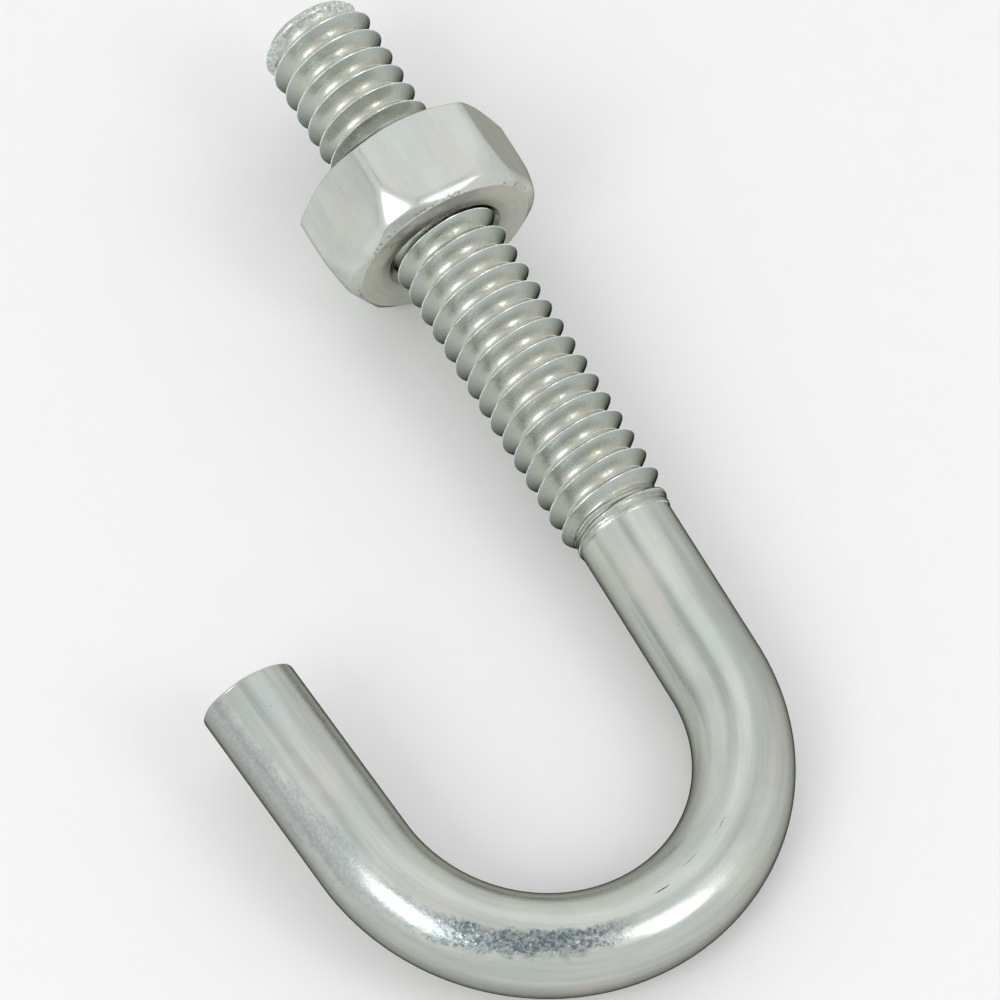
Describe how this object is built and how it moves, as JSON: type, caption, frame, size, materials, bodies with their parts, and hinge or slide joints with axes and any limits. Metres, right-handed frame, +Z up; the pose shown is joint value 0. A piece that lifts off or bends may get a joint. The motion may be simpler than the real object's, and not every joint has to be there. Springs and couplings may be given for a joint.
{
  "type": "j-bolt with hex nut",
  "caption": "Zinc plated J-bolt: a round rod bent into an open hook, threaded at its straight end and carrying a hexagon nut.",
  "frame": {"origin": "middle of the free threaded end, on the thread's axis", "axes": "+X along the thread's axis, out of the free end; +Y from the shank towards the hook's short leg; +Z up, square to the plane of the hook"},
  "size_m": [0.0579, 0.0317, 0.0114],
  "materials": {
    "bolt_zinc": "zinc plated, soft sheen",
    "nut_zinc": "zinc plated, satin"
  },
  "bodies": {
    "bolt": {"j_bolt": "bolt_zinc"},
    "nut": {"hex_nut": "nut_zinc"}
  },
  "joints": [
    {"name": "nut_travel", "type": "slide", "parent": "bolt", "child": "nut", "axis": [1, 0, 0], "range_m": [-0.01651, 0.00889]}
  ]
}
